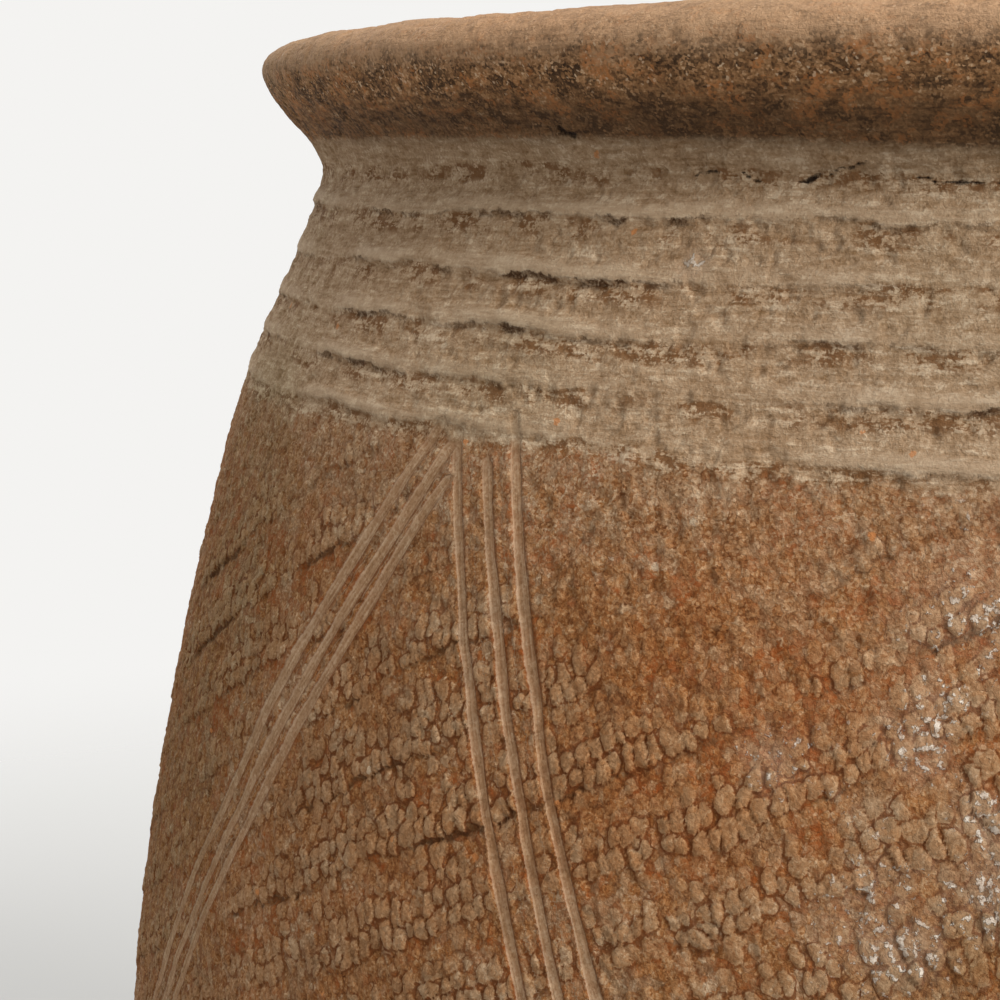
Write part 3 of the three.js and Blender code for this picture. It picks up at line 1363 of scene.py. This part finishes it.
@dataclass(frozen=True)
class ClayFinish:
    """Fired clay with grain, pads, tool marks, soot and crust, painted from the marks on the mesh, with
    painted shade and highlights along the tool marks, under the rim and in the cracks.

    Attributes:
        slot: the record's material slot.
    """

    slot: str
    body: Stops = (
        (0.0, (84, 46, 20)), (0.28, (126, 78, 39)), (0.5, (147, 101, 60)), (0.72, (163, 123, 84)),
        (1.0, (190, 158, 124)),
    )
    rubbed: Stops = (
        (0.0, (94, 66, 42)), (0.35, (132, 103, 74)), (0.65, (156, 126, 95)), (1.0, (192, 166, 136)),
    )
    neck: Stops = (
        (0.0, (84, 57, 32)), (0.3, (128, 98, 67)), (0.55, (151, 122, 92)), (0.8, (170, 143, 113)),
        (1.0, (195, 171, 142)),
    )
    rim: Stops = (
        (0.0, (42, 30, 20)), (0.3, (88, 62, 40)), (0.55, (130, 94, 61)), (0.8, (162, 122, 84)),
        (1.0, (200, 168, 132)),
    )
    scored: Stops = (
        (0.0, (104, 68, 38)), (0.35, (138, 104, 72)), (0.6, (157, 125, 94)), (1.0, (186, 157, 127)),
    )
    inside: Stops = (
        (0.0, (84, 58, 40)), (0.5, (126, 90, 64)), (1.0, (150, 116, 88)),
    )
    rust: Colour = (134, 70, 28)
    dirt: Colour = (70, 46, 26)
    silt: Colour = (100, 56, 26)
    umber: Colour = (110, 73, 41)
    burnished: Colour = (198, 168, 140)
    drawn: Colour = (178, 154, 126)
    dusted: Colour = (168, 134, 102)
    soot: Colour = (54, 39, 26)
    crust: Colour = (214, 204, 190)
    bloom: Colour = (170, 144, 119)
    grog: Colour = (182, 118, 68)
    pale_grit: Colour = (198, 176, 148)
    gap: Colour = (34, 23, 15)
    warm_tint: Colour = (255, 240, 224)
    cool_tint: Colour = (236, 240, 234)
    specular: float = 0.12

    def material(self) -> bpy.types.Material:
        """Builds the material.

        Returns:
            A node material that reads the marks of the clay pieces.
        """
        material = bpy.data.materials.new(self.slot)
        tree = FinishTree(material)
        place = tree.scaled(tree.add("ShaderNodeTexCoord", {}, {}, "Object"), (1 / MM, 1 / MM, 1 / MM))
        height = place.parts()[2]
        within, printed, trench = tree.mark("pads").parts()
        phase, press, scored = tree.mark("tooling").parts()
        neck, rim, inner = tree.mark("zones").parts()
        soot, crust, warmth = tree.mark("stains").parts()
        crest = tree.add("ShaderNodeAttribute", {"attribute_name": "crest"}, {}, "Fac")
        crack = tree.add("ShaderNodeAttribute", {"attribute_name": "crack"}, {}, "Fac")

        # Grains of several sizes, level streaks and flakes with fine rifts between them
        grain = tree.noise(place, 0.45, 3.0, 0.7)
        grit = tree.noise(place, 1.5, 3.0, 0.62)
        patch = tree.noise(place, 6.5, 3.0, 0.6)
        cloud = tree.noise(place, 28.0, 3.0, 0.55)
        ash = tree.noise(tree.scaled(place, (1.0, 1.0, -1.0)), 8.0, 4.0, 0.62)
        drag = tree.noise(tree.scaled(place, (0.14, 0.14, 1.0)), 0.8, 4.0, 0.66)
        stirred = {0: grit.out("Color"), 1: (2.0, 2.0, 2.0), 2: place}
        warped = tree.add("ShaderNodeVectorMath", {"operation": "MULTIPLY_ADD"}, stirred)
        chip, chip_tint, _ = tree.cells(warped, 1.5, "F1", "Color").parts()
        rift = 1 - tree.cells(warped, 1.5, "DISTANCE_TO_EDGE", "Distance").smooth(0.0, 0.16)
        sand, tint, _ = tree.cells(place, 0.42, "F1", "Color").parts()
        rough = 0.9 * (grain - 0.5) + 0.5 * (grit - 0.5) + 0.34 * (chip - 0.5) + 0.5 * (sand - 0.5)

        # Raised clay is rubbed grey, hollows keep rust and silt, and the trench under each band gets painted
        # shade
        shown = printed.smooth(0.08, 0.6)
        pad = (within + 0.2 * (grain - 0.5) + 0.25 * (grit - 0.5)).smooth(0.04, 0.16) * shown
        seam = shown * within.smooth(-0.2, -0.03) * (1 - (within + 0.25 * (grain - 0.5)).smooth(0.04, 0.15))
        flaky = (1 - 0.8 * pad) * (1 - 0.5 * rift)
        lift = 0.5 + (0.9 - 0.3 * pad) * rough + 0.3 * (patch - 0.5) + 0.35 * (cloud - 0.5) + 0.06 * crest
        colour = tree.ramp(lift, self.body)
        rusted = flaky * (patch + 0.5 * (cloud - 0.5) + 0.3 * (chip_tint - 0.5)).smooth(0.42, 0.62)
        colour = tree.blend(0.75 * rusted * (0.9 - rough), colour, self.rust)
        greyed = (ash + 0.25 * (chip_tint - 0.5)).smooth(0.48, 0.64) * (0.35 + 0.5 * chip)
        greyed = greyed * (1 - 0.5 * pad) + pad * (0.36 + 0.3 * (ash - 0.3) + 0.2 * chip_tint)
        colour = tree.blend(greyed, colour, tree.ramp(lift, self.rubbed))
        colour = tree.blend(0.42 * rift * (1 - pad) * (0.2 + grit), colour, self.silt)
        colour = tree.blend(0.9 * seam * (0.45 + grit), colour, self.silt)
        colour = tree.blend(0.6 * (trench + 0.3 * rough).smooth(0.2, 0.6) * (0.4 + grit), colour, self.dirt)

        # Scored lines: a flat streaked strip with a painted highlight along its left edge and painted shade
        # along its right edge
        streak = tree.add("ShaderNodeCombineXYZ", {}, {"X": scored, "Y": 0.05 * height})
        streak = tree.noise(streak, 0.4, 3.0, 0.6)
        side = scored + 0.4 * (grit - 0.5) + 0.3 * (grain - 0.5)
        line = side.smooth(-1.15, -1.0) * (1 - side.smooth(0.85, 1.05))
        lit = side.smooth(-1.2, -1.05) * (1 - side.smooth(-0.95, -0.7))
        shade = side.smooth(0.75, 1.0) * (1 - side.smooth(1.3, 1.9))
        strip = tree.ramp(0.58 + 1.1 * (streak - 0.5) + 0.5 * rough, self.scored)
        colour = tree.blend(line * (0.34 + 0.8 * cloud), colour, strip)
        colour = tree.blend(0.4 * lit * (0.2 + grit), colour, self.burnished)
        colour = tree.blend(0.6 * shade * (0.3 + grit), colour, self.silt)

        # The neck is drawn out level, with smooth ridges painted pale on top as burnish and painted highlight,
        # a painted shadow along the broken edge under some of them and a broader band of umber and painted
        # shade below that
        scale = tree.noise(tree.scaled(place, (0.4, 0.4, 1.0)), 1.5, 3.0, 0.65)
        tone = 0.68 + 0.5 * rough + 1.2 * (drag - 0.5) + 0.5 * (scale - 0.5)
        tone = tone + 0.3 * (patch - 0.5) + 0.1 * crest
        collar = tree.ramp(tone, self.neck)
        fold = phase.math("FRACT", phase + NeckRidges.above)
        off = NeckRidges.pitch * (fold - NeckRidges.above)
        ragged = off + 0.9 * (grit - 0.5) + 0.7 * (grain - 0.5)
        tops = press * off.smooth(-1.9, -0.5) * (1 - ragged.smooth(0.6, 0.9))
        edges = press * ragged.smooth(0.6, 0.85) * (1 - ragged.smooth(1.0, 1.9))
        below = ragged.smooth(0.7, 1.2) * (1 - ragged.smooth(3.0, 4.6))
        below = below * (ash + 0.3 * (patch - 0.5)).smooth(0.42, 0.56)
        scaly = (scale + 0.3 * rough + 0.3 * (drag - 0.5)).smooth(0.43, 0.54)
        collar = tree.blend(0.85 * below * (1 - scaly), collar, self.umber)
        collar = tree.blend(0.5 * tops * (0.2 + 1.2 * drag), collar, self.drawn)
        parted = (patch + 0.6 * (cloud - 0.5) + 0.35 * (drag - 0.5)).smooth(0.47, 0.57)
        parted = parted * (1 - 0.75 * phase.smooth(3.5, 3.9))
        collar = tree.blend(0.7 * edges * parted * (0.9 - rough), collar, self.dirt)
        dusty = height.smooth(348.0, 378.0) * (0.9 * patch + 0.5 * (sand - 0.5)) * 0.85
        drawn = (neck + 0.6 * (grit - 0.5) + 0.5 * (patch - 0.5)).smooth(0.2, 0.8)
        colour = tree.blend(drawn + dusty * (1 - line), colour, collar)

        # The rim is gritty and smoked in patches on its face, and its top is painted lighter as painted
        # highlight
        blot = tree.noise(tree.scaled(place, (0.45, 0.45, 0.9)), 4.0, 4.0, 0.65) + 0.2 * (chip_tint - 0.5)
        low = 1 - height.smooth(424.5, 430.0)
        fleck = 0.9 * rough * (1 - 0.5 * low) + (0.5 + 0.9 * low) * (drag - 0.5)
        roll = tree.ramp(0.55 + fleck + 0.35 * (patch - 0.5), self.rim)
        roll = tree.blend(0.6 * blot.smooth(0.52, 0.64) * tint.smooth(0.2, 0.6), roll, self.grog)
        roll = tree.blend(0.7 * (1 - blot.smooth(0.37, 0.48)) * (1 - sand.smooth(0.5, 0.9)), roll, self.soot)
        top = (height + 5.0 * (patch - 0.5) + 3.0 * (drag - 0.5) + 1.5 * (sand - 0.5)).smooth(430.0, 435.5)
        # A few pale specks on the upper rim are painted glints
        painted_glint = sand.smooth(0.92, 0.95) * tint.smooth(0.5, 0.55) * (1 - low)
        roll = tree.blend(0.6 * painted_glint, roll, self.pale_grit)
        roll = tree.blend(top * (0.78 + 1.1 * (drag - 0.5) + 0.3 * rough), roll, self.dusted)
        colour = tree.blend((rim + 0.6 * (grit - 0.5)).smooth(0.25, 0.75), colour, roll)

        wiped = tree.ramp((0.6 * drag + 0.4 * cloud).smooth(0.3, 0.7), self.inside)
        colour = tree.blend(inner, colour, wiped)
        colour = tree.blend(warmth.smooth(0.0, 0.9), colour, self.warm_tint, "MULTIPLY")
        colour = tree.blend((0 - warmth).smooth(0.0, 0.9), colour, self.cool_tint, "MULTIPLY")

        # Grog, grit, crust, soot with painted shade under the rim, and open cracks
        stones = tree.cells(warped, 6.0, "F1", "Distance")
        kind, rare, _ = stones.out("Color").parts()
        bit = (1 - stones.smooth(0.08, 0.12)) * rare.smooth(0.6, 0.65)
        colour = tree.blend(0.75 * bit * kind.smooth(0.62, 0.64), colour, self.grog)
        colour = tree.blend(0.6 * bit * (1 - kind.smooth(0.30, 0.32)), colour, self.pale_grit)
        lime = tree.noise(tree.scaled(place, (-1.0, 1.0, 1.0)), 1.2, 3.0, 0.6)
        haze = crust.smooth(0.0, 0.8) * (0.25 + 0.9 * (grit - 0.3) + 0.3 * rough)
        tips = pad * (1 - within.smooth(0.5, 0.9))
        white = (lime + 0.2 * crust + 0.08 * tips + 0.15 * (grain - 0.5)).smooth(0.71, 0.78)
        white = white * crust.smooth(0.05, 0.3)
        colour = tree.blend(0.7 * haze, colour, self.bloom)
        colour = tree.blend(0.85 * white * (0.6 + 0.8 * rough), colour, self.crust)
        soot_and_shade_share = soot * (0.9 + 1.0 * (drag - 0.5) + 0.6 * (patch - 0.5) - 0.3 * rough)
        colour = tree.blend(soot_and_shade_share, colour, self.soot)
        # Open cracks are painted near-black as painted shade inside them
        ajar = 1 - (crack + 0.5 * (grain - 0.5)).smooth(-0.1, 0.25)
        colour = tree.blend(ajar, colour, self.gap)

        even = 1 - 0.75 * line - 0.35 * tops - 0.3 * pad
        flakes = (1 - 0.85 * neck) * (0.1 * chip - 0.05 * rift)
        bump = even * (0.34 * grain + 0.24 * grit + 0.16 * sand + flakes) + 0.3 * neck * drag
        bump = bump + 0.1 * pad + 0.14 * line * streak - 0.5 * ajar + 0.2 * white
        normal = tree.add("ShaderNodeBump", {}, {"Strength": 1.0, "Distance": MM, "Height": bump}, "Normal")
        sheen = 0.92 - 0.14 * line - 0.1 * tops - 0.08 * rim - 0.08 * white
        shader = tree.add(
            "ShaderNodeBsdfPrincipled", {},
            {"Base Color": colour, "Roughness": sheen, "Specular IOR Level": self.specular, "Normal": normal},
        )
        tree.add("ShaderNodeOutputMaterial", {}, {"Surface": shader})
        return material


@dataclass(frozen=True)
class SoftBox:
    """Soft studio lamp.

    Attributes:
        name: lamp name.
        stand: its place in metres.
        aim: the point that it faces in metres.
        size: side of its square face in metres.
        power: watts.
    """

    name: str
    stand: tuple[float, float, float]
    aim: tuple[float, float, float]
    size: float
    power: float

    def build(self) -> None:
        """Adds the lamp to the scene."""
        lamp = bpy.data.lights.new(self.name, "AREA")
        lamp.shape = "SQUARE"
        lamp.size = self.size
        lamp.energy = self.power
        obj = bpy.data.objects.new(self.name, lamp)
        obj.location = self.stand
        obj.rotation_euler = (Vector(self.aim) - Vector(self.stand)).to_track_quat("-Z", "Y").to_euler()
        bpy.context.scene.collection.objects.link(obj)


@dataclass(frozen=True)
class Studio:
    """Pale floor that runs out into pale surroundings, soft lamps and the camera, in metres."""

    floor_near: float = 0.5
    floor_radius: float = 1.3
    floor_drop: float = 0.0003
    floor_colour: Colour = (200, 199, 196)
    air_colour: Colour = (244, 243, 241)
    ambient: float = 0.57
    camera_place: tuple[float, float, float] = (-0.1177, -0.4215, 0.417)
    camera_pitch: float = 9.6
    lens: float = 72.0
    lamps: tuple[SoftBox, ...] = (
        SoftBox("key_softbox", (1.6, -1.9, 1.75), (0.0, 0.0, 0.3), 1.1, 86.0),
        SoftBox("top_softbox", (0.0, -0.25, 2.0), (0.0, 0.0, 0.3), 1.4, 15.0),
        SoftBox("back_softbox", (-0.9, 1.5, 1.3), (0.0, 0.0, 0.3), 1.2, 10.0),
    )

    def build(self) -> None:
        """Adds the floor, the surroundings, the lamps and the camera."""
        self._floor()
        self._air()
        for lamp in self.lamps:
            lamp.build()
        self._camera()

    def _floor(self) -> None:
        """Round pale floor under the jar."""
        turn = np.linspace(0.0, 2.0 * np.pi, 96, endpoint=False)
        ring = np.column_stack([np.cos(turn), np.sin(turn), np.zeros_like(turn)]) * self.floor_radius
        ring[:, 2] = -self.floor_drop
        mesh = bpy.data.meshes.new("studio_floor")
        mesh.from_pydata(ring.tolist(), [], [list(range(len(turn)))])
        floor = bpy.data.objects.new("studio_floor", mesh)
        bpy.context.scene.collection.objects.link(floor)
        material = bpy.data.materials.new("studio_floor")
        tree = FinishTree(material)
        sockets = {"Base Color": linear(self.floor_colour), "Roughness": 0.9, "Specular IOR Level": 0.1}
        shader = tree.add("ShaderNodeBsdfPrincipled", {}, sockets)
        x, y, _ = tree.add("ShaderNodeTexCoord", {}, {}, "Object").parts()
        share = (x * x + y * y).smooth(self.floor_near**2, self.floor_radius**2)
        clear = tree.add("ShaderNodeBsdfTransparent", {}, {})
        shader = tree.add("ShaderNodeMixShader", {}, {"Fac": share, 1: shader, 2: clear})
        tree.add("ShaderNodeOutputMaterial", {}, {"Surface": shader})
        mesh.materials.append(material)

    def _air(self) -> None:
        """Soft surroundings that the camera sees as a pale backdrop."""
        world = bpy.data.worlds.new("studio_air")
        bpy.context.scene.world = world
        tree = FinishTree(world)
        path = tree.add("ShaderNodeLightPath", {}, {}, "Is Camera Ray")
        lit = tree.add("ShaderNodeBackground", {}, {"Color": (1.0, 1.0, 1.0, 1.0), "Strength": self.ambient})
        seen = tree.add("ShaderNodeBackground", {}, {"Color": linear(self.air_colour)})
        direct = path + path.out("Is Glossy Ray") + path.out("Is Transmission Ray")
        shown = tree.add("ShaderNodeMixShader", {}, {"Fac": direct, 1: lit, 2: seen})
        tree.add("ShaderNodeOutputWorld", {}, {"Surface": shown})

    def _camera(self) -> None:
        """Camera close to the upper left side of the jar, a little below the rim."""
        data = bpy.data.cameras.new("main_camera")
        data.lens = self.lens
        data.clip_start = 0.01
        camera = bpy.data.objects.new("main_camera", data)
        camera.location = self.camera_place
        camera.rotation_euler = (math.radians(90.0 - self.camera_pitch), 0.0, 0.0)
        bpy.context.scene.collection.objects.link(camera)
        bpy.context.scene.camera = camera


def main() -> None:
    """Builds the studio and every clay piece, and notes the sizes."""
    logging.basicConfig(level=logging.INFO, format="%(name)s: %(message)s")
    bpy.context.scene.view_settings.view_transform = "Standard"
    Studio().build()
    slots = {entry["node"]: entry["material_slot"] for entry in frame["record"]["subparts"]}
    finishes = {slot: ClayFinish(slot).material() for slot in sorted(set(slots.values()))}
    work = Handwork(JarForm.from_frame())
    for piece in JarBuilder(work).pieces():
        obj = piece.build()
        slot = slots[piece.node]
        obj.data.materials.append(finishes[slot])
        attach(obj, BODY)
        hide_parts(piece.node)
        LOG.info("%s: %d faces, %s", obj.name, len(obj.data.polygons), slot)


if __name__ == "__main__":
    main()
